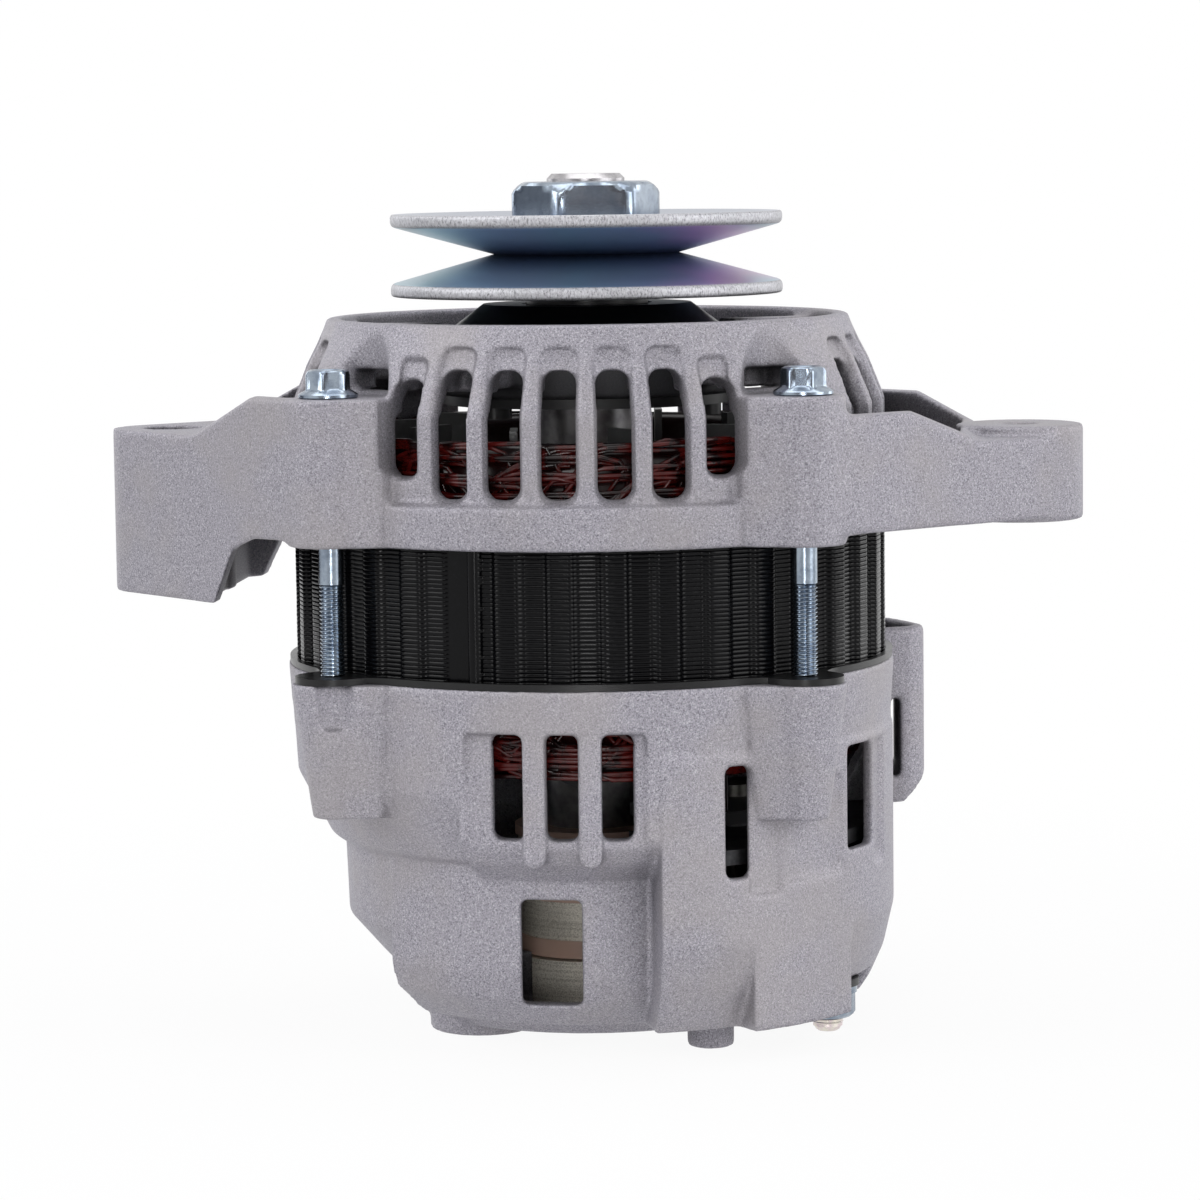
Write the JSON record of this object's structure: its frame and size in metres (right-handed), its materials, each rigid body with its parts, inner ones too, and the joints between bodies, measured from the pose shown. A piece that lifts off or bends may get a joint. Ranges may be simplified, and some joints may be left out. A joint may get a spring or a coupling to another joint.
{
  "type": "alternator",
  "caption": "Belt-driven alternator: ribbed cast brackets on a laminated stator, claw-pole rotor in ball bearings, V-belt pulley, pivot ear and adjusting ear.",
  "frame": {"origin": "on the shaft axis, at the middle of the belt groove", "axes": "+Z along the shaft towards the pulley nut, +X towards the adjusting ear, -Y towards the vented side that faces the camera in the picture"},
  "size_m": [0.2008, 0.126, 0.1743],
  "materials": {
    "cast_aluminium": "bead-blasted casting",
    "zinc_sheet": "blue-bright zinc plate",
    "zinc_fastener": "bright zinc plate",
    "shaft_steel": "ground steel",
    "bearing_steel": "polished steel",
    "cage_steel": "pressed steel",
    "black_laminations": "gloss black varnish",
    "enamelled_wire": "dark red enamelled copper",
    "field_wire": "varnished copper",
    "pole_iron": "dark varnished forging",
    "fan_sheet": "dark phosphated sheet",
    "slip_ring_metal": "turned, nickel tinted",
    "ring_resin": "beige moulding",
    "carbon": "carbon with copper",
    "black_resin": "moulded",
    "sink_aluminium": "rolled sheet",
    "diode_can": "nickel plate",
    "tinned_copper": "tinned",
    "spring_steel": "wire",
    "stud_tin": "tin plate"
  },
  "bodies": {
    "housing": {"front_bearing_outer_race": "bearing_steel", "rear_bearing_outer_race": "bearing_steel", "front_bracket": "cast_aluminium", "rear_bracket": "cast_aluminium", "bearing_retainer": "zinc_fastener", "retainer_screws": "zinc_fastener", "through_bolts": "zinc_fastener", "stator_core": "black_laminations", "stator_winding": "enamelled_wire", "stator_leads": "enamelled_wire", "brush_spring_inner": "spring_steel", "brush_spring_outer": "spring_steel", "brush_holder": "black_resin", "voltage_regulator": "black_resin", "regulator_screws": "zinc_fastener", "rectifier_terminal_board": "black_resin", "positive_heat_sink": "sink_aluminium", "negative_heat_sink": "sink_aluminium", "rectifier_spacers": "black_resin", "rectifier_diodes": "diode_can", "rectifier_screws": "zinc_fastener", "output_stud": "stud_tin", "stud_insulator": "black_resin", "stud_washer": "zinc_fastener", "stud_nut": "zinc_fastener", "stud_cap": "stud_tin", "signal_socket": "black_resin", "signal_blades": "tinned_copper"},
    "rotor": {"rotor_shaft": "shaft_steel", "pulley_front_half": "zinc_sheet", "pulley_rear_half": "zinc_sheet", "pulley_nut": "zinc_fastener", "pulley_lock_washer": "zinc_fastener", "front_spacer": "shaft_steel", "front_bearing_inner_race": "bearing_steel", "rear_bearing_inner_race": "bearing_steel", "front_pole_core": "pole_iron", "rear_pole_core": "pole_iron", "field_bobbin": "black_resin", "field_coil": "field_wire", "front_fan": "fan_sheet", "rear_fan": "fan_sheet", "slip_ring_inner": "slip_ring_metal", "slip_ring_outer": "slip_ring_metal", "slip_ring_insulator": "ring_resin"},
    "front_ball_set": {"front_bearing_balls": "bearing_steel", "front_bearing_cage": "cage_steel"},
    "rear_ball_set": {"rear_bearing_balls": "bearing_steel", "rear_bearing_cage": "cage_steel"},
    "inner_brush": {"brush_inner": "carbon"},
    "outer_brush": {"brush_outer": "carbon"}
  },
  "joints": [
    {"name": "rotor_spin", "type": "hinge", "parent": "housing", "child": "rotor", "pos_m": [0, 0, 0], "axis": [0, 0, 1], "continuous": true},
    {"name": "front_cage_spin", "type": "hinge", "parent": "housing", "child": "front_ball_set", "pos_m": [0, 0, 0], "axis": [0, 0, 1], "continuous": true},
    {"name": "rear_cage_spin", "type": "hinge", "parent": "housing", "child": "rear_ball_set", "pos_m": [0, 0, 0], "axis": [0, 0, 1], "continuous": true},
    {"name": "inner_brush_slide", "type": "slide", "parent": "housing", "child": "inner_brush", "axis": [-1, 0, 0], "range_m": [0, 0.0035], "stiffness_N_per_m": 200, "springref_m": -0.005, "deforming": ["brush_spring_inner"]},
    {"name": "outer_brush_slide", "type": "slide", "parent": "housing", "child": "outer_brush", "axis": [-1, 0, 0], "range_m": [0, 0.0035], "stiffness_N_per_m": 200, "springref_m": -0.005, "deforming": ["brush_spring_outer"]}
  ],
  "couplings": [
    {"joint": "front_cage_spin", "follows": "rotor_spin", "ratio": 0.3807},
    {"joint": "rear_cage_spin", "follows": "rotor_spin", "ratio": 0.38}
  ]
}
